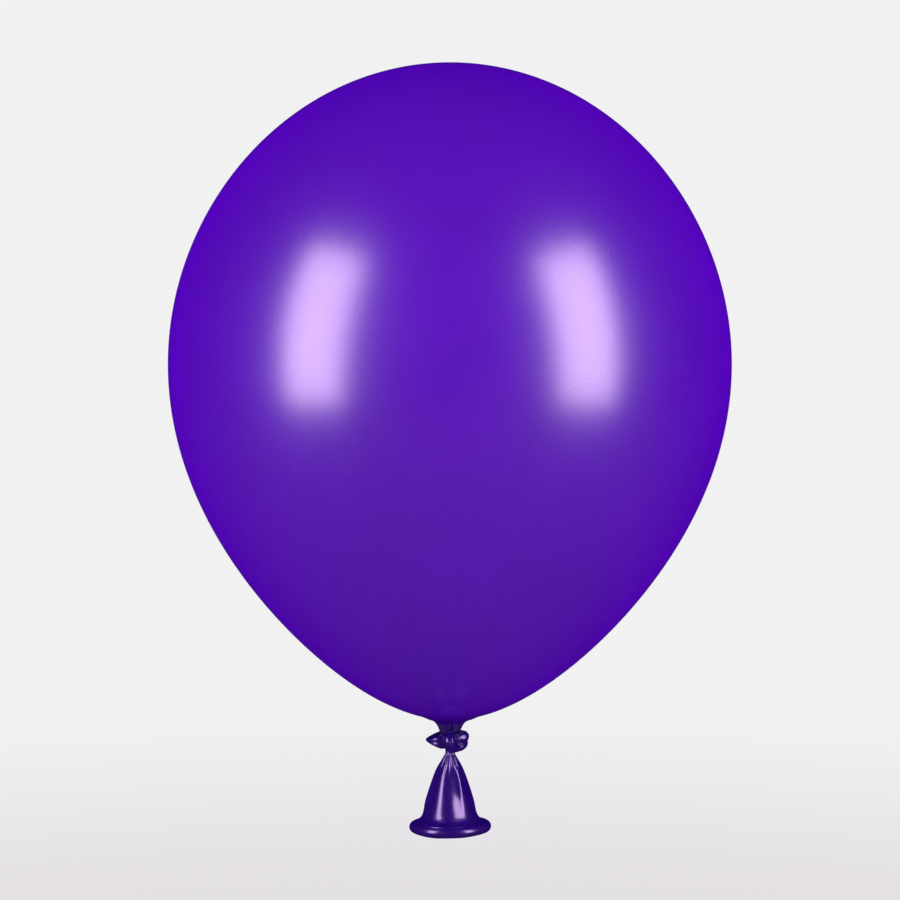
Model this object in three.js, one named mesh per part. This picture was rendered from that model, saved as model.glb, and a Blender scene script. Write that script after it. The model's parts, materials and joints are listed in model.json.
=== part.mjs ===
// A round latex party balloon, inflated and knotted: the film body, the gathered neck, the overhand knot,
// the loose tail below it and the rolled lip round its mouth.
// Millimetres, +Z up, front towards -Y. The origin is the middle of the pinched neck, just above the knot.

import * as THREE from 'three';

// ---- Driving dimensions ----

const clearance = 0.3;

const bodyDiameter = 240;
const bodyHeight = 281;
const bodyRise = 4;
const filmWall = 0.3;
const bodyFullness = { lean: 0.106, shoulder: -0.1245, taper: 0.056 };

const neckBallRadius = 4.6;
const neckBallReach = 145;
const neckPivotHeight = 2.2;
const neckFoot = -0.9;
const neckPleats = 8;
const neckPleatDepth = 0.1;
const throatRim = 0.2;
const throatFillet = 5;

const knotCoreRadius = 3.9;
const knotCoreRounding = 0.5;
const wrapDrop = 0.2;
const wrapThickness = 5.1;
const wrapHeight = 8.6;
const wrapSlope = 0.5;
const wrapPoint = 0.35;

const pinchRadius = 2;
const pinchDrop = 1.3;
const pinchShoulder = 1.2;
const socketReach = 42;
const socketRim = 0.3;
const tailPlug = 4;
const tailLength = 28.5;
const mouthRadius = 11.8;
const tailWall = 0.4;
const tailFolds = 4;
const tailFoldDepth = 0.14;

const beadDiameter = 4.7;
const flareReach = 3.35;
const flareDrop = 1.05;

const sides = { envelope: 64, neck: 32, core: 24, wrap: 36, tail: 32, lip: 40 };

// ---- Places that follow from them ----

const bodyRadius = bodyDiameter / 2;
const throatRadius = neckBallRadius + clearance;
const throatEdge = neckPivotHeight + throatRim;
const coreTop = neckFoot - clearance;
const wrapRadius = knotCoreRadius + clearance + wrapThickness / 2;
const wrapMiddle = neckFoot - wrapDrop - wrapHeight / 2;
const tailPivot = wrapMiddle - wrapHeight / 2 - pinchDrop;
const tailEnd = tailPivot - tailLength;
const beadRadius = beadDiameter / 2;
const lipRadius = mouthRadius + flareReach;
const lipMiddle = tailEnd - flareDrop - beadRadius;

// ---- Materials ----

const stretchedLatex = new THREE.MeshStandardMaterial({ color: 0x590fbc, roughness: 0.28, metalness: 0 });
const slackLatex = new THREE.MeshStandardMaterial({ color: 0x2f0a78, roughness: 0.3, metalness: 0 });

// ---- Shared shape tools ----

const point = (radius, height) => new THREE.Vector2(radius, height);

// Turns a profile of (radius, height) points about the Z axis.
function turned(profile, count) {
  const geometry = new THREE.LatheGeometry(profile, count);
  return geometry.rotateX(Math.PI / 2);
}

// Points on an arc about (0, centre), by angle from straight down: 0 is the lowest point, 180 the highest.
function arcPoints(centre, radius, from, to, steps) {
  const points = [];
  for (let i = 0; i <= steps; i += 1) {
    const angle = THREE.MathUtils.degToRad(from + ((to - from) * i) / steps);
    points.push(point(radius * Math.sin(angle), centre - radius * Math.cos(angle)));
  }
  return points;
}

// The same line moved towards the axis side by one wall, square to itself. The line runs downwards.
function inset(line, wall) {
  return line.map((here, i) => {
    const before = line[Math.max(i - 1, 0)];
    const after = line[Math.min(i + 1, line.length - 1)];
    const along = after.clone().sub(before).normalize();
    const moved = point(here.x + along.y * wall, here.y - along.x * wall);
    return i === 0 ? point(0, here.y - wall) : moved;
  });
}

// Draws the surface in by a share of its radius in evenly spaced folds, as strong as fade(height) says.
function fold(geometry, count, depth, fade) {
  const place = geometry.attributes.position;
  for (let i = 0; i < place.count; i += 1) {
    const x = place.getX(i);
    const y = place.getY(i);
    const wave = 0.5 - 0.5 * Math.cos(count * Math.atan2(y, x));
    const scale = 1 - depth * wave * fade(place.getZ(i));
    place.setXY(i, x * scale, y * scale);
  }
  return geometry;
}

function named(name, geometry, material) {
  const mesh = new THREE.Mesh(geometry, material);
  mesh.name = name;
  return mesh;
}

// ---- Envelope: the inflated film, open at the throat ----

// Half-width of the body as a share of its radius, before scaling to the widest place. up is 1 at the crown
// and -1 at the lower pole.
function fullness(up) {
  const { lean, shoulder, taper } = bodyFullness;
  return Math.sqrt(1 - up * up) * (1 + lean * up + shoulder * up ** 2 + taper * up ** 3);
}

// The level, on the same scale, at which the body is widest.
function widestLevel() {
  let widest = 0;
  for (let up = -0.5; up <= 0.5; up += 0.0005) {
    widest = fullness(up) > fullness(widest) ? up : widest;
  }
  return widest;
}

const widestAngle = Math.acos(widestLevel());
const fullnessScale = bodyRadius / fullness(widestLevel());

// A point of the body's outline, by angle from the crown.
function bodyPoint(angle) {
  const up = Math.cos(angle);
  return point(fullnessScale * fullness(up), bodyRise + (bodyHeight * (1 + up)) / 2);
}

// The angle on the lower half at which the body has narrowed to a radius.
function angleAtRadius(radius) {
  let wide = widestAngle;
  let narrow = Math.PI;
  for (let i = 0; i < 40; i += 1) {
    const middle = (wide + narrow) / 2;
    if (bodyPoint(middle).x > radius) {
      wide = middle;
    } else {
      narrow = middle;
    }
  }
  return wide;
}

// Crown to widest place to fillet, with the fillet running down into the throat.
function envelopeOutline() {
  const steps = 13;
  const outer = throatRadius + filmWall;
  const lastAngle = angleAtRadius(outer + throatFillet);
  const line = [];
  for (let i = 0; i < steps; i += 1) {
    line.push(bodyPoint((widestAngle * i) / steps));
  }
  for (let i = 0; i <= steps; i += 1) {
    line.push(bodyPoint(THREE.MathUtils.lerp(widestAngle, lastAngle, i / steps)));
  }
  line[0].x = 0;
  const start = line[line.length - 1];
  const slope = start.clone().sub(line[line.length - 2]);
  const corner = point(outer, start.y + (slope.y / slope.x) * (outer - start.x));
  const fillet = new THREE.QuadraticBezierCurve(start, corner, point(outer, throatEdge));
  return line.concat(fillet.getPoints(4).slice(1));
}

function envelope() {
  const outside = envelopeOutline();
  const inside = inset(outside, filmWall);
  inside[inside.length - 1] = point(throatRadius, throatEdge);
  return named('envelope', turned(inside.concat(outside.reverse()), sides.envelope), stretchedLatex);
}

// ---- Neck: the film gathered into pleats, turning in the throat like a ball in a socket ----

function neckGather() {
  const footAngle = THREE.MathUtils.radToDeg(Math.acos((neckPivotHeight - neckFoot) / neckBallRadius));
  const ball = arcPoints(neckPivotHeight, neckBallRadius, footAngle, neckBallReach, 7);
  const top = ball[ball.length - 1].y;
  const profile = [point(0, neckFoot), ...ball, point(0, top)];
  const pleatFade = (height) => THREE.MathUtils.smoothstep(neckPivotHeight - height, 0, neckPivotHeight);
  const geometry = fold(turned(profile, sides.neck), neckPleats, neckPleatDepth, pleatFade);
  return named('neck_gather', geometry, slackLatex);
}

// ---- Knot: the strand through the middle and the turn wrapped round it ----

function knotCore() {
  const ball = arcPoints(tailPivot, pinchRadius, 0, 90, 4);
  const shoulder = new THREE.QuadraticBezierCurve(
    ball[ball.length - 1],
    point(pinchRadius, tailPivot + pinchShoulder),
    point(knotCoreRadius, wrapMiddle - wrapHeight / 4),
  );
  const profile = [
    ...ball,
    ...shoulder.getPoints(4).slice(1),
    point(knotCoreRadius, coreTop - knotCoreRounding),
    point(knotCoreRadius - knotCoreRounding, coreTop),
    point(0, coreTop),
  ];
  profile[0].x = 0;
  return named('knot_core', turned(profile, sides.core), slackLatex);
}

// A closed turn of strand. It slopes across the knot, and its left side is drawn out to a point.
function knotWrap() {
  const geometry = new THREE.TorusGeometry(wrapRadius, 1, 14, sides.wrap);
  const place = geometry.attributes.position;
  for (let i = 0; i < place.count; i += 1) {
    const round = Math.atan2(place.getY(i), place.getX(i));
    const outward = Math.hypot(place.getX(i), place.getY(i)) - wrapRadius;
    const leftSide = Math.max(0, -Math.cos(round)) ** 6;
    const reach = outward > 0 ? 1 + wrapPoint * leftSide : 1;
    const radius = wrapRadius + (outward * reach * wrapThickness) / 2;
    const rise = place.getZ(i) * (1 - wrapPoint * leftSide) * (wrapHeight / 2 - wrapSlope);
    place.setXYZ(
      i,
      radius * Math.cos(round),
      radius * Math.sin(round),
      wrapMiddle + rise + wrapSlope * Math.cos(round),
    );
  }
  return named('knot_wrap', geometry, slackLatex);
}

// ---- Tail: the open end of the neck, hanging as a folded bell ----

function tailRadius(height) {
  return mouthRadius * Math.sqrt((tailPivot - height) / tailLength);
}

function tailSkirt() {
  const socketRadius = pinchRadius + clearance;
  const socket = arcPoints(tailPivot, socketRadius, socketReach, 0, 3);
  const shoulder = socket[0].y - socketRim;
  const cavityTop = shoulder - tailPlug;
  const steps = 8;
  const outside = [];
  for (let i = 0; i <= steps; i += 1) {
    const height = THREE.MathUtils.lerp(shoulder, tailEnd, (i / steps) ** 1.3);
    outside.push(point(tailRadius(height), height));
  }
  const reach = (beadRadius + clearance) * Math.SQRT1_2;
  const edge = point(lipRadius - reach, lipMiddle + reach);
  const turn = point(mouthRadius, THREE.MathUtils.lerp(edge.y, tailEnd, 0.4));
  const flare = new THREE.QuadraticBezierCurve(outside[steps], turn, edge);
  outside.push(...flare.getPoints(3).slice(1));
  const inside = inset(outside, tailWall).filter((place) => place.y < cavityTop);
  const profile = [point(0, cavityTop), ...inside, ...outside.reverse(), ...socket];
  profile[profile.length - 1].x = 0;
  const foldFade = (height) => Math.sin(
    Math.PI * THREE.MathUtils.clamp((shoulder - height) / (shoulder - tailEnd), 0, 1),
  );
  const geometry = fold(turned(profile, sides.tail), tailFolds, tailFoldDepth, foldFade);
  return named('tail_skirt', geometry, slackLatex);
}

// ---- Rolled lip: the bead round the mouth ----

function rolledLip() {
  const geometry = new THREE.TorusGeometry(lipRadius, beadRadius, 12, sides.lip);
  return named('rolled_lip', geometry.translate(0, 0, lipMiddle), slackLatex);
}

// ---- The assembly ----

const balloon = new THREE.Group();
balloon.name = 'latex_balloon';
balloon.add(envelope(), neckGather(), knotCore(), knotWrap(), tailSkirt(), rolledLip());

export default balloon;
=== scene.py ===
"""A round latex party balloon, inflated and knotted: body film, overhand knot, loose tail, rolled lip."""

import json
import math

import bmesh
import bpy
import numpy as np
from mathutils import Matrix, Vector


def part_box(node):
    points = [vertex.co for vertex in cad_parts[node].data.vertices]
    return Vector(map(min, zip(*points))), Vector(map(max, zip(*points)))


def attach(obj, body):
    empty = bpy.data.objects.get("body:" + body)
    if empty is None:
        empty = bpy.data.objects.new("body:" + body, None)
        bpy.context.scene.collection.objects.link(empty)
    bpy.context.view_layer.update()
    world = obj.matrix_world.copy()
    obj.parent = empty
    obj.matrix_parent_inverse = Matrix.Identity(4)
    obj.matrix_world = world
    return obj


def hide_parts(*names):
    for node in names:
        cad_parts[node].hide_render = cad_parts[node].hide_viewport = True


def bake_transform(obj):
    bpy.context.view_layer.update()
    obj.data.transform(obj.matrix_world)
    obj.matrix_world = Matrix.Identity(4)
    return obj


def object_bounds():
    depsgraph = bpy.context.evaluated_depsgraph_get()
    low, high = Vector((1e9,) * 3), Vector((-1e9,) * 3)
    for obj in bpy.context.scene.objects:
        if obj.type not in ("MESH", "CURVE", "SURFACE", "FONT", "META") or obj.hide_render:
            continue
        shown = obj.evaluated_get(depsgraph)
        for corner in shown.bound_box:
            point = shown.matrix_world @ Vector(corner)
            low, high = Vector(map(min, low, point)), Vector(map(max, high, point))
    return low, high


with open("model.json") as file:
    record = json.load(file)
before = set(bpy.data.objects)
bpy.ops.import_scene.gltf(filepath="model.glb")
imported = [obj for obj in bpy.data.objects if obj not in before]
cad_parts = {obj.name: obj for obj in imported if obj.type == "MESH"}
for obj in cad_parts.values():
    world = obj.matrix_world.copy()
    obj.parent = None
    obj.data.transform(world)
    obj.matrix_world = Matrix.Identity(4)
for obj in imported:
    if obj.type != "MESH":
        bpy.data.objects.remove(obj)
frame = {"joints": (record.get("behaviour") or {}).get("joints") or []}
cad_box = [list(corner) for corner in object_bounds()]

# ---- Sizes, in millimetres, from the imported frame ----

MM = 0.001
TAU = 2 * math.pi


def node_box(name):
    low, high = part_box(name)
    return np.array(low) / MM, np.array(high) / MM


body_high = node_box("envelope")[1]
lip_low, lip_high = node_box("rolled_lip")

BODY_RADIUS = body_high[0]
CROWN = body_high[2]
BEAD_RADIUS = (lip_high[2] - lip_low[2]) / 2
LIP_MIDDLE = (lip_high[2] + lip_low[2]) / 2
LIP_RADIUS = lip_high[0] - BEAD_RADIUS
TAIL_PIVOT = next(joint["pos_m"][2] for joint in frame["joints"] if joint["name"] == "tail_swing") / MM

# The body's outline, as in the CAD: its lower pole, and how it differs from an ellipse.
BODY_RISE = 4.0
FULLNESS = (0.106, -0.1245, 0.056)


# ---- Mesh tools ----

def smoothstep(start, end, value):
    t = np.clip((np.asarray(value, float) - start) / (end - start), 0, 1)
    return t * t * (3 - 2 * t)


def curve_through(points, count):
    """Points at even parameter steps on a Catmull-Rom curve through the given ones."""
    knots = np.array(points, float)
    padded = np.vstack([2 * knots[0] - knots[1], knots, 2 * knots[-1] - knots[-2]])
    place = np.linspace(0, len(knots) - 1, count)
    index = np.minimum(place.astype(int), len(knots) - 2)
    t = (place - index)[:, None]
    a, b, c, d = (padded[index + k] for k in range(4))
    return 0.5 * (2 * b + (c - a) * t + (2 * a - 5 * b + 4 * c - d) * t**2 + (3 * b - a - 3 * c + d) * t**3)


def evenly(line, count):
    """The same line with its points at even distances."""
    line = np.array(line, float)
    along = np.concatenate([[0], np.cumsum(np.linalg.norm(np.diff(line, axis=0), axis=1))])
    wanted = np.linspace(0, along[-1], count)
    return np.stack([np.interp(wanted, along, line[:, k]) for k in range(line.shape[1])], axis=1)


def ringed(name, rings, poles=(None, None), around=False):
    """A closed mesh of rings, each a loop of points, capped by a pole at each end or joined end to end."""
    rings = np.asarray(rings, float)
    rows, columns = rings.shape[:2]
    points = list(rings.reshape(-1, 3))
    faces = []
    spans = rows if around else rows - 1
    for i in range(spans):
        for j in range(columns):
            k = (j + 1) % columns
            m = (i + 1) % rows
            faces.append((i * columns + j, i * columns + k, m * columns + k, m * columns + j))
    for pole, row, flip in ((poles[0], 0, False), (poles[1], rows - 1, True)):
        if pole is None:
            continue
        points.append(pole)
        tip = len(points) - 1
        for j in range(columns):
            edge = (row * columns + j, row * columns + (j + 1) % columns)
            faces.append((tip, edge[1], edge[0]) if not flip else (tip, edge[0], edge[1]))
    mesh = bpy.data.meshes.new(name)
    mesh.from_pydata([tuple(np.array(p) * MM) for p in points], [], faces)
    return finished(name, mesh)


def finished(name, mesh):
    """An object for the mesh, with its faces pointing out and shaded smooth."""
    work = bmesh.new()
    work.from_mesh(mesh)
    bmesh.ops.recalc_face_normals(work, faces=work.faces)
    work.to_mesh(mesh)
    work.free()
    mesh.polygons.foreach_set("use_smooth", [True] * len(mesh.polygons))
    mesh.update()
    piece = bpy.data.objects.new(name, mesh)
    bpy.context.scene.collection.objects.link(piece)
    return piece


def vertex_places(piece):
    return np.array([v.co for v in piece.data.vertices]) / MM


def set_field(piece, name, values):
    field = piece.data.attributes.new(name, "FLOAT", "POINT")
    field.data.foreach_set("value", np.asarray(values, np.float32))


def bulges(angle, count, phase, sharp=0.8):
    """Rounded ridges with narrow valleys between them, from 0 in a valley to 1 on a ridge."""
    return np.abs(np.sin((count * angle + phase) / 2)) ** sharp


# ---- Body film: crown to gathered neck ----

def fullness(up):
    lean, shoulder, taper = FULLNESS
    return np.sqrt(np.maximum(0, 1 - up**2)) * (1 + lean * up + shoulder * up**2 + taper * up**3)


NECK_OUTLINE = ((10.3, 4.4), (8.1, 3.7), (6.4, 2.6), (5.3, 1.3), (4.6, 0.0), (4.1, -1.3), (3.5, -2.7))
NECK_JOIN_RADIUS = 13.5
NECK_RADIUS = 4.5
LOWER_PART = 40
PLEAT_LIFT, PLEAT_REACH = 1.0, 7.5
FINE_LIFT, FINE_REACH = 0.42, 2.8


def body_outline():
    """(radius, height) from the crown to the foot of the neck, closer together towards the neck."""
    angles = np.linspace(0, math.pi, 4001)[1:]
    up = np.cos(angles)
    shape = fullness(up)
    radius = shape * BODY_RADIUS / shape.max()
    height = BODY_RISE + (CROWN - BODY_RISE) * (1 + up) / 2
    lower = (up < 0) & (radius < NECK_JOIN_RADIUS)
    stop = int(np.argmax(lower))
    body = np.stack([radius[:stop], height[:stop]], axis=1)
    funnel = curve_through([body[-40], body[-1], *NECK_OUTLINE], 400)
    funnel = funnel[funnel[:, 0] < body[-1][0] - 0.01]
    upper = evenly(body, 1500)
    near_neck = (upper[:, 0] < 45) & (upper[:, 1] < 60)
    split = int(np.argmax(near_neck))
    coarse = evenly(upper[: split + 1], 110)
    close = evenly(upper[split:], 34)[1:]
    gather = evenly(np.vstack([body[-1:], funnel]), 48)[1:]
    return np.vstack([coarse[1:], close, gather]), coarse[0]


def outline_normals(line):
    run = np.gradient(line, axis=0)
    run /= np.linalg.norm(run, axis=1)[:, None]
    return np.stack([-run[:, 1], run[:, 0]], axis=1)


def body_film():
    line, top = body_outline()
    normal = outline_normals(line)
    radius, height = line[:, 0][:, None], line[:, 1][:, None]
    columns = 256
    angle = np.linspace(0, TAU, columns, endpoint=False)[None, :]
    low = height < LOWER_PART
    out = np.maximum(radius - NECK_RADIUS, 0)
    near = np.where(low, np.exp(-out / PLEAT_REACH), 0)
    close = np.where(low, np.exp(-out / FINE_REACH), 0)
    drift = 0.35 * np.sin(radius / 5)
    pleat = 0.62 * (bulges(angle, 9, 0.7 + drift) - 0.6) + 0.38 * (bulges(angle, 14, 2.2 - drift) - 0.6)
    fine = bulges(angle, 23, 1.1 + 2 * drift) - 0.6
    lift = PLEAT_LIFT * near * pleat + FINE_LIFT * close * fine
    r = radius + normal[:, 0][:, None] * lift
    z = height + normal[:, 1][:, None] * lift
    spread = smoothstep(6, 90, radius)
    r = r * (1 + spread * (0.0016 * np.cos(2 * angle + 0.6) + 0.001 * np.cos(3 * angle + 2.4)))
    rings = np.stack([r * np.cos(angle), r * np.sin(angle), z + 0 * angle], axis=2)
    piece = ringed("body_film", rings, ((0, 0, top[1]), (0, 0, line[-1][1] - 0.1)))
    place = vertex_places(piece)
    from_axis = np.hypot(place[:, 0], place[:, 1])
    at_neck = np.where(place[:, 2] < LOWER_PART, np.exp(-np.maximum(from_axis - NECK_RADIUS, 0) / 11), 0)
    at_crown = np.where(place[:, 2] > CROWN / 2, 0.22 * (1 - smoothstep(5, 13, from_axis)), 0)
    set_field(piece, "slack", at_neck + at_crown)
    return piece


# ---- Knot: one strand of gathered film tied in an overhand knot and drawn tight ----

def strand_frames(line):
    """Unit side vectors carried along the line without turning about it."""
    run = np.gradient(line, axis=0)
    run /= np.linalg.norm(run, axis=1)[:, None]
    side = np.cross(run[0], (0.0, 1.0, 0.0))
    sides = []
    for step in run:
        side = side - step * np.dot(side, step)
        side = side / np.linalg.norm(side)
        sides.append(side)
    sides = np.array(sides)
    return sides, np.cross(run, sides)


def swept(name, path, radii, pleats, depth, twist):
    count, columns = 420, 72
    route = curve_through(path, count)
    size = curve_through([(r, 0) for r in radii], count)[:, 0][:, None]
    first, second = strand_frames(route)
    angle = np.linspace(0, TAU, columns, endpoint=False)[None, :]
    turn = twist * np.linspace(0, 1, count)[:, None]
    fold = bulges(angle + turn, pleats, 0.4, 0.7) * 0.6 + bulges(angle - turn / 2, pleats + 4, 1.9, 0.7) * 0.4
    reach = size * (1 + depth * (fold - 0.75))
    across = reach * np.cos(angle)
    along = reach * np.sin(angle)
    rings = route[:, None, :] + across[..., None] * first[:, None, :] + along[..., None] * second[:, None, :]
    return ringed(name, rings, (route[0], route[-1]))


def blob(name, centre, half, rows=24, columns=40):
    level = np.linspace(0, math.pi, rows + 2)[1:-1][:, None]
    angle = np.linspace(0, TAU, columns, endpoint=False)[None, :]
    rings = np.stack([
        centre[0] + half[0] * np.sin(level) * np.cos(angle),
        centre[1] + half[1] * np.sin(level) * np.sin(angle),
        centre[2] + half[2] * np.cos(level) + 0 * angle,
    ], axis=2)
    top, bottom = np.array(centre, float), np.array(centre, float)
    top[2] += half[2]
    bottom[2] -= half[2]
    return ringed(name, rings, (top, bottom))


def fused(name, pieces, voxel, rounds):
    """One clean closed skin round all the pieces, which are used up."""
    work = bmesh.new()
    for piece in pieces:
        work.from_mesh(piece.data)
    mesh = bpy.data.meshes.new(name)
    work.to_mesh(mesh)
    work.free()
    for piece in pieces:
        bpy.data.objects.remove(piece)
    rough = bpy.data.objects.new(name + "_rough", mesh)
    bpy.context.scene.collection.objects.link(rough)
    remesh = rough.modifiers.new("Skin", "REMESH")
    remesh.mode = "VOXEL"
    remesh.voxel_size = voxel * MM
    depsgraph = bpy.context.evaluated_depsgraph_get()
    skin = bpy.data.meshes.new_from_object(rough.evaluated_get(depsgraph))
    skin.name = name
    bpy.data.objects.remove(rough)
    work = bmesh.new()
    work.from_mesh(skin)
    keep_largest(work)
    for _ in range(rounds):
        bmesh.ops.smooth_vert(
            work, verts=work.verts, factor=0.5, use_axis_x=True, use_axis_y=True, use_axis_z=True
        )
    work.to_mesh(skin)
    work.free()
    return finished(name, skin)


def keep_largest(work):
    """Deletes every separate shell but the one with the most points."""
    seen, shells = set(), []
    for vert in work.verts:
        if vert in seen:
            continue
        shell, edge = {vert}, [vert]
        while edge:
            here = edge.pop()
            for link in here.link_edges:
                other = link.other_vert(here)
                if other not in shell:
                    shell.add(other)
                    edge.append(other)
        seen |= shell
        shells.append(shell)
    largest = max(shells, key=len)
    spare = [vert for vert in work.verts if vert not in largest]
    bmesh.ops.delete(work, geom=spare, context="VERTS")


STRAND = (
    # x, y, z, radius
    (0.0, 0.2, -8.2, 1.4),
    (0.0, 0.3, -7.0, 2.0),
    (0.0, 0.3, -5.2, 2.4),
    (0.0, -0.8, -3.3, 2.3),
    (-0.3, -3.6, -2.0, 2.1),
    (-0.3, -6.6, -2.7, 2.4),
    (-0.1, -8.0, -5.0, 2.6),
    (0.5, -6.6, -7.6, 2.2),
    (3.0, -3.9, -8.2, 1.7),
    (4.9, -1.4, -7.4, 2.1),
    (5.3, 2.8, -6.4, 2.4),
    (2.8, 6.4, -5.6, 2.5),
    (-2.4, 6.6, -5.1, 2.6),
    (-6.0, 3.8, -5.0, 2.7),
    (-7.0, 0.0, -5.0, 2.9),
    (-4.9, -3.0, -5.3, 3.5),
    (-0.8, -3.6, -5.2, 2.7),
    (3.0, -3.4, -4.2, 2.3),
    (5.7, -1.6, -3.6, 2.5),
    (5.0, 1.3, -3.3, 2.1),
    (2.7, 1.0, -3.0, 2.1),
    (0.3, 0.2, -2.6, 2.4),
)


KNOT_MIDDLE = -5.2


def draw_left_side_out(strand):
    """Narrows the left of the knot to a point, as its tight loop is in the photo."""
    places = vertex_places(strand)
    across = np.clip((-places[:, 0] - 1.5) / 8.0, 0, 1)
    half_height = -KNOT_MIDDLE - 4.6 * across
    places[:, 0] -= 0.5 * np.clip((-places[:, 0] - 5.8) / 4.0, 0, 1) ** 2
    rise = (places[:, 2] - KNOT_MIDDLE) * (1 + 0.4 * np.minimum(4 * across, 1))
    drawn = KNOT_MIDDLE + half_height * np.tanh(rise / half_height)
    places[:, 2] = np.where(across > 0, drawn, places[:, 2])
    strand.data.vertices.foreach_set("co", (places * MM).ravel())


def knot():
    path = [row[:3] for row in STRAND]
    radii = [row[3] for row in STRAND]
    strand = swept("strand", path, radii, 7, 0.12, 9.0)
    draw_left_side_out(strand)
    core = blob("core", (0, 0, -5.3), (5.4, 5.0, 4.2))
    return fused("overhand_knot", [strand, core], 0.2, 3)


# ---- Tail: the open end of the neck, a loose folded bell ----

TAIL_WALL = 0.45


def tail_outline():
    """(radius, height) of the bell's outer face, from inside the knot to inside the bead."""
    edge_drop = LIP_MIDDLE - TAIL_PIVOT
    below = [
        (1.8, 2.8), (2.0, 1.4), (2.0, 0.4), (2.2, -0.5), (2.8, -1.6), (3.5, -2.9), (4.8, -5.4), (6.5, -9.6),
        (8.3, -15.0), (9.9, -20.4), (10.7, -23.6), (11.3, -25.7), (12.2, -27.4), (13.4, -28.6), (14.7, -29.3),
        (15.6, -29.9), (15.5, -31.0),
        (15.2, edge_drop),
    ]
    line = np.array([(radius, TAIL_PIVOT + rise) for radius, rise in below])
    return evenly(curve_through(line, 400), 96)


FACET_MIDDLES = (0.05, 1.17)
FACET_RADIUS = 0.94
FACET_HALF = 0.4


def facets(angle):
    """Share of the radius by which two flat faces, meeting in a crease front right, differ from a circle."""
    first, second = FACET_MIDDLES
    azimuth = angle - 1.5 * math.pi
    away = np.minimum(np.abs(azimuth - first), np.abs(azimuth - second))
    between = (azimuth > first) & (azimuth < second)
    reach = np.minimum(away, (second - first) / 2)
    flat = np.where(between | (away < FACET_HALF), FACET_RADIUS / np.cos(reach), 1.0)
    for _ in range(6):
        flat = (np.roll(flat, 1, axis=1) + 2 * flat + np.roll(flat, -1, axis=1)) / 4
    return flat - 1


def tail_radius(line, angle, wall):
    """Radius of the folded bell, wall further in than its outer face."""
    depth = TAIL_PIVOT - line[:, 1][:, None]
    radius = line[:, 0][:, None]
    loose = smoothstep(1.5, 8, depth) * (1 - 0.85 * smoothstep(20, 30, depth))
    sway = 0.02 * depth
    mirrored = 3 * math.pi - angle
    soft = (
        0.050 * np.cos(2 * mirrored + 0.5 + sway)
        + 0.046 * np.cos(3 * mirrored - 1.0 - sway)
        + 0.028 * np.cos(5 * mirrored + 5.4 + 2 * sway)
        + 0.012 * np.cos(8 * mirrored + 0.9)
    )
    creased = smoothstep(2, 7, depth) * (1 - 0.65 * smoothstep(14, 20, depth))
    soft = soft + creased * facets(angle)
    tight = (1 - smoothstep(0.5, 11, depth)) * smoothstep(-2.5, 1.5, depth) * 0.2
    pleat = bulges(angle, 9, 1.3 + sway) * 0.6 + bulges(angle, 13, 0.2) * 0.4 - 0.7
    return radius * (1 + loose * soft + tight * pleat) - wall


def tail_skin():
    line = tail_outline()
    angle = np.linspace(0, TAU, 160, endpoint=False)[None, :]
    outside = tail_radius(line, angle, 0.0)
    inner = line[line[:, 1] < TAIL_PIVOT - 3.4]
    inside = np.maximum(tail_radius(inner, angle, TAIL_WALL), 0.4)

    def loops(radius, height):
        return np.stack([radius * np.cos(angle), radius * np.sin(angle), height[:, None] + 0 * angle], axis=2)

    rings = np.concatenate([loops(outside, line[:, 1]), loops(inside, inner[:, 1])[::-1]])
    return ringed("tail_skin", rings, ((0, 0, line[0][1] + 0.2), (0, 0, inner[0][1] + 0.5)))


def lip_bead():
    columns, turns = 44, 240
    section = np.linspace(0, TAU, columns, endpoint=False)[None, :]
    angle = np.linspace(0, TAU, turns, endpoint=False)[:, None]
    size = BEAD_RADIUS * (1 + 0.03 * np.cos(3 * angle + 0.4) + 0.025 * np.cos(7 * angle + 1.9))
    rolled = 1 - 0.07 * np.exp(-((section - 2.2) / 0.22) ** 2)
    out = LIP_RADIUS + size * rolled * np.cos(section) + 0.25 * np.cos(2 * angle + 1.0)
    wave = 0.3 * np.cos(angle - 0.3) + 0.25 * np.cos(2 * angle)
    high = LIP_MIDDLE + size * rolled * np.sin(section) * 0.97 + wave
    rings = np.stack([out * np.cos(angle), out * np.sin(angle), high], axis=2)
    return ringed("lip_bead", rings, around=True)


# ---- Materials ----

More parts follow.
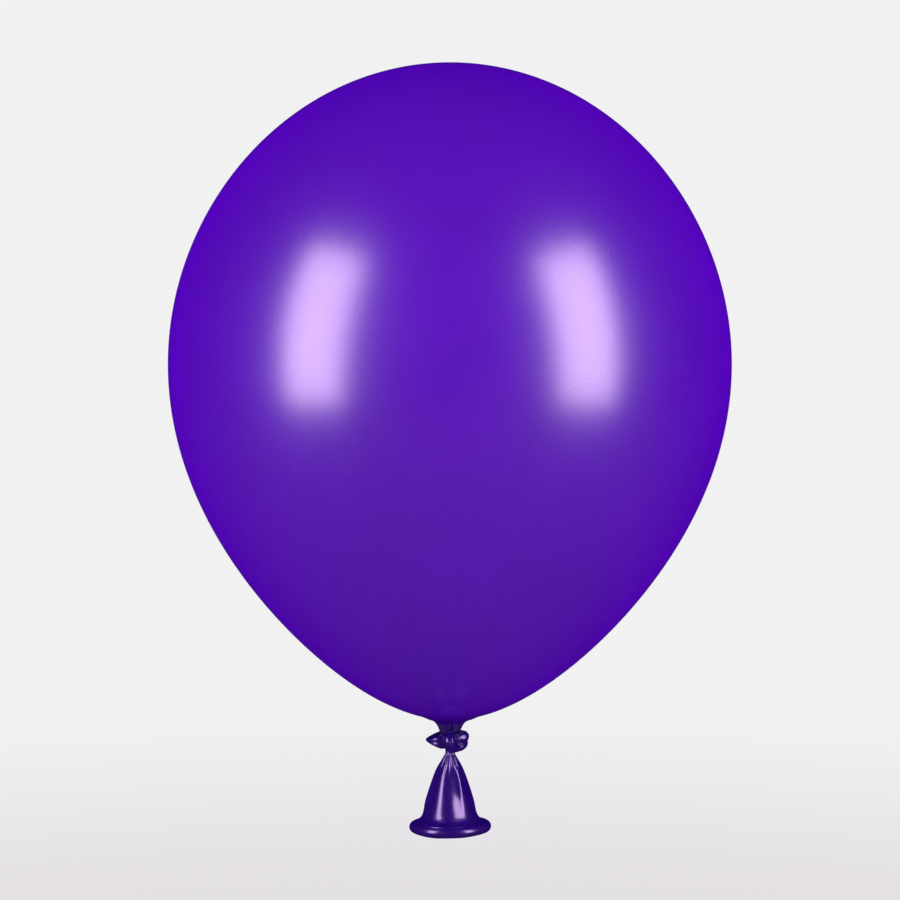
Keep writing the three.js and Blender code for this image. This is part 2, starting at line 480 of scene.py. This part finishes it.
def latex(name, colour, roughness, grain, coat, tint, slack_colour=None):
    """Glossy latex. Where the mesh has a "slack" field, it turns from the colour to the slack colour."""
    material = bpy.data.materials.new(name)
    material.use_nodes = True
    nodes, links = material.node_tree.nodes, material.node_tree.links
    nodes.clear()
    out = nodes.new("ShaderNodeOutputMaterial")
    shader = nodes.new("ShaderNodeBsdfPrincipled")
    links.new(shader.outputs["BSDF"], out.inputs["Surface"])
    shader.inputs["IOR"].default_value = 1.52
    shader.inputs["Coat Roughness"].default_value = 0.27
    shader.inputs["Coat IOR"].default_value = 1.7
    shader.inputs["Specular Tint"].default_value = (*tint, 1)
    where = nodes.new("ShaderNodeTexCoord")

    def noise(scale, detail, stretch=(1, 1, 1)):
        turn = nodes.new("ShaderNodeMapping")
        turn.inputs["Scale"].default_value = stretch
        links.new(where.outputs["Object"], turn.inputs["Vector"])
        node = nodes.new("ShaderNodeTexNoise")
        node.inputs["Scale"].default_value = scale
        node.inputs["Detail"].default_value = detail
        links.new(turn.outputs["Vector"], node.inputs["Vector"])
        return node.outputs["Fac"]

    def spread(value, low, high):
        node = nodes.new("ShaderNodeMapRange")
        node.inputs["From Min"].default_value = 0.15
        node.inputs["From Max"].default_value = 0.85
        node.inputs["To Min"].default_value = low
        node.inputs["To Max"].default_value = high
        links.new(value, node.inputs["Value"])
        return node.outputs["Result"]

    def towards_limb(full, faint):
        """A gloss that fades where the film turns edge-on, so no lamp draws a white line round it."""
        facing = nodes.new("ShaderNodeLayerWeight")
        facing.inputs["Blend"].default_value = 0.5
        node = nodes.new("ShaderNodeMapRange")
        node.interpolation_type = "SMOOTHSTEP"
        node.inputs["From Min"].default_value = 0.3
        node.inputs["From Max"].default_value = 0.8
        node.inputs["To Min"].default_value = full
        node.inputs["To Max"].default_value = faint
        links.new(facing.outputs["Facing"], node.inputs["Value"])
        return node.outputs["Result"]

    def mixed(factor, first, second, kind="MIX"):
        node = nodes.new("ShaderNodeMix")
        node.data_type = "RGBA"
        node.blend_type = kind
        for socket, value in ((0, factor), (6, first), (7, second)):
            if isinstance(value, bpy.types.NodeSocket):
                links.new(value, node.inputs[socket])
            else:
                node.inputs[socket].default_value = value
        return node.outputs[2]

    base = (*colour, 1)
    if slack_colour:
        field = nodes.new("ShaderNodeAttribute")
        field.attribute_name = "slack"
        base = mixed(field.outputs["Fac"], base, (*slack_colour, 1))
    cloud = spread(noise(22, 2), 0.93, 1.07)
    streak = spread(noise(9, 3, (9, 9, 1)), 0.97, 1.03)
    both = nodes.new("ShaderNodeMath")
    both.operation = "MULTIPLY"
    links.new(cloud, both.inputs[0])
    links.new(streak, both.inputs[1])
    base = mixed(1.0, base, both.outputs[0], "MULTIPLY")
    links.new(base, shader.inputs["Base Color"])
    links.new(spread(noise(40, 1), roughness - 0.015, roughness + 0.02), shader.inputs["Roughness"])
    links.new(towards_limb(coat, 0.01), shader.inputs["Coat Weight"])
    links.new(towards_limb(0.95, 0.01), shader.inputs["Specular IOR Level"])
    bump = nodes.new("ShaderNodeBump")
    bump.inputs["Strength"].default_value = 0.35
    bump.inputs["Distance"].default_value = grain * MM
    links.new(noise(700, 2), bump.inputs["Height"])
    links.new(bump.outputs["Normal"], shader.inputs["Normal"])
    return material


def dress(piece, material):
    piece.data.materials.clear()
    piece.data.materials.append(material)


STRETCHED_COLOUR = (0.073, 0.0013, 0.388)
GATHERED_COLOUR = (0.016, 0.0006, 0.115)
SLACK_COLOUR = (0.012, 0.0005, 0.125)

film_finish = latex("stretched_latex", STRETCHED_COLOUR, 0.27, 0.006, 1.0, (1, 1, 1), GATHERED_COLOUR)
slack_finish = latex("slack_latex", SLACK_COLOUR, 0.22, 0.02, 0.9, (0.6, 0.45, 1.0))

# ---- The pieces, dressed; the knot and the lip carried by their bodies ----

body = body_film()
dress(body, film_finish)
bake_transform(body)
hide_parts("envelope", "neck_gather")

tie = knot()
dress(tie, slack_finish)
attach(tie, "knot")
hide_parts("knot_core", "knot_wrap")

tail = tail_skin()
dress(tail, slack_finish)
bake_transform(tail)
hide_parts("tail_skirt")

lip = lip_bead()
dress(lip, slack_finish)
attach(lip, "tail")
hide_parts("rolled_lip")

# ---- Studio: pale floor, pale surroundings, two strip softboxes ----

FLOOR_GAP = 0.07
BACKGROUND = (0.88, 0.88, 0.88, 1)
FLOOR_PAINT = (0.47, 0.98, 0.43, 1)
REFLECTED = (0.3, 0.08, 1.0, 1)
FILL = (0.8, 0.16, 0.96, 1)
LAMP = (1.0, 0.75, 0.96)


def studio_floor():
    """A floor that melts into the background. Its paint evens out the violet of the fill, and it is dimmer
    to the object than to the camera, so that little of it is thrown back on the film."""
    level = cad_box[0][2] - FLOOR_GAP
    mesh = bpy.data.meshes.new("studio_floor")
    reach = 6.0
    corners = [(-reach, -reach, level), (reach, -reach, level), (reach, reach, level), (-reach, reach, level)]
    mesh.from_pydata(corners, [], [(0, 1, 2, 3)])
    floor = bpy.data.objects.new("studio_floor", mesh)
    bpy.context.scene.collection.objects.link(floor)
    material = bpy.data.materials.new("studio_floor")
    material.use_nodes = True
    nodes, links = material.node_tree.nodes, material.node_tree.links
    nodes.clear()
    out = nodes.new("ShaderNodeOutputMaterial")
    paint = nodes.new("ShaderNodeBsdfDiffuse")
    glow = nodes.new("ShaderNodeEmission")
    glow.inputs["Color"].default_value = BACKGROUND
    where = nodes.new("ShaderNodeNewGeometry")
    length = nodes.new("ShaderNodeVectorMath")
    length.operation = "LENGTH"
    fade = nodes.new("ShaderNodeMapRange")
    fade.interpolation_type = "SMOOTHSTEP"
    fade.inputs["From Min"].default_value = 0.12
    fade.inputs["From Max"].default_value = 0.9
    fade.inputs["To Min"].default_value = 0.72
    ray = nodes.new("ShaderNodeLightPath")
    bounce = nodes.new("ShaderNodeMath")
    bounce.operation = "MULTIPLY_ADD"
    bounce.inputs[1].default_value = 0.6
    bounce.inputs[2].default_value = 0.04
    tone = nodes.new("ShaderNodeMix")
    tone.data_type = "RGBA"
    tone.inputs[7].default_value = FLOOR_PAINT
    links.new(ray.outputs["Is Diffuse Ray"], bounce.inputs[0])
    links.new(bounce.outputs[0], tone.inputs[6])
    links.new(ray.outputs["Is Camera Ray"], tone.inputs[0])
    links.new(tone.outputs[2], paint.inputs["Color"])
    both = nodes.new("ShaderNodeMath")
    both.operation = "MULTIPLY"
    mix = nodes.new("ShaderNodeMixShader")
    links.new(where.outputs["Position"], length.inputs[0])
    links.new(length.outputs["Value"], fade.inputs["Value"])
    links.new(fade.outputs["Result"], both.inputs[0])
    links.new(ray.outputs["Is Camera Ray"], both.inputs[1])
    links.new(both.outputs[0], mix.inputs[0])
    links.new(paint.outputs[0], mix.inputs[1])
    links.new(glow.outputs[0], mix.inputs[2])
    links.new(mix.outputs[0], out.inputs["Surface"])
    mesh.materials.append(material)


def surroundings():
    """Pale to look at, dim violet in reflections, and a soft violet fill for the neighbouring balloons."""
    world = bpy.data.worlds.new("studio")
    bpy.context.scene.world = world
    world.cycles.sampling_method = "NONE"
    world.use_nodes = True
    nodes, links = world.node_tree.nodes, world.node_tree.links
    nodes.clear()
    out = nodes.new("ShaderNodeOutputWorld")
    seen = nodes.new("ShaderNodeBackground")
    seen.inputs["Color"].default_value = BACKGROUND
    gloss = nodes.new("ShaderNodeBackground")
    gloss.inputs["Color"].default_value = REFLECTED
    gloss.inputs["Strength"].default_value = 0.08
    fill = nodes.new("ShaderNodeBackground")
    fill.inputs["Color"].default_value = FILL
    fill.inputs["Strength"].default_value = 0.9
    ray = nodes.new("ShaderNodeLightPath")
    glossy = nodes.new("ShaderNodeMixShader")
    whole = nodes.new("ShaderNodeMixShader")
    links.new(ray.outputs["Is Glossy Ray"], glossy.inputs[0])
    links.new(fill.outputs[0], glossy.inputs[1])
    links.new(gloss.outputs[0], glossy.inputs[2])
    links.new(ray.outputs["Is Camera Ray"], whole.inputs[0])
    links.new(glossy.outputs[0], whole.inputs[1])
    links.new(seen.outputs[0], whole.inputs[2])
    links.new(whole.outputs[0], out.inputs["Surface"])


def direction(azimuth, elevation):
    """Unit vector towards an azimuth from the front and an elevation, in degrees."""
    a, e = math.radians(azimuth), math.radians(elevation)
    return Vector((math.sin(a) * math.cos(e), -math.cos(a) * math.cos(e), math.sin(e)))


def softbox(name, azimuth, elevation, distance, width, height, radiance):
    light = bpy.data.lights.new(name, "AREA")
    light.shape = "RECTANGLE"
    light.size, light.size_y = width, height
    light.energy = radiance * math.pi * width * height
    light.color = LAMP
    box = bpy.data.objects.new(name, light)
    way = direction(azimuth, elevation)
    box.location = middle + way * distance
    box.rotation_euler = way.to_track_quat("Z", "Y").to_euler()
    box.visible_camera = False
    bpy.context.scene.collection.objects.link(box)


middle = Vector((0, 0, (cad_box[0][2] + cad_box[1][2]) / 2))
studio_floor()
surroundings()
softbox("softbox_left", -54, 15, 1.3, 0.58, 1.16, 5.35)
softbox("softbox_right", 54, 15, 1.3, 0.58, 1.16, 5.35)

CAMERA_DISTANCE = 1.7
CAMERA_ELEVATION = 4.5
FRAME_HEIGHT = 0.385

lens = bpy.data.cameras.new("camera")
lens.sensor_width = 36
lens.lens = lens.sensor_width / FRAME_HEIGHT * CAMERA_DISTANCE
camera = bpy.data.objects.new("camera", lens)
way = direction(0, CAMERA_ELEVATION)
camera.location = middle + way * CAMERA_DISTANCE
camera.rotation_euler = way.to_track_quat("Z", "Y").to_euler()
bpy.context.scene.collection.objects.link(camera)
bpy.context.scene.camera = camera
bpy.context.scene.view_settings.view_transform = "Standard"
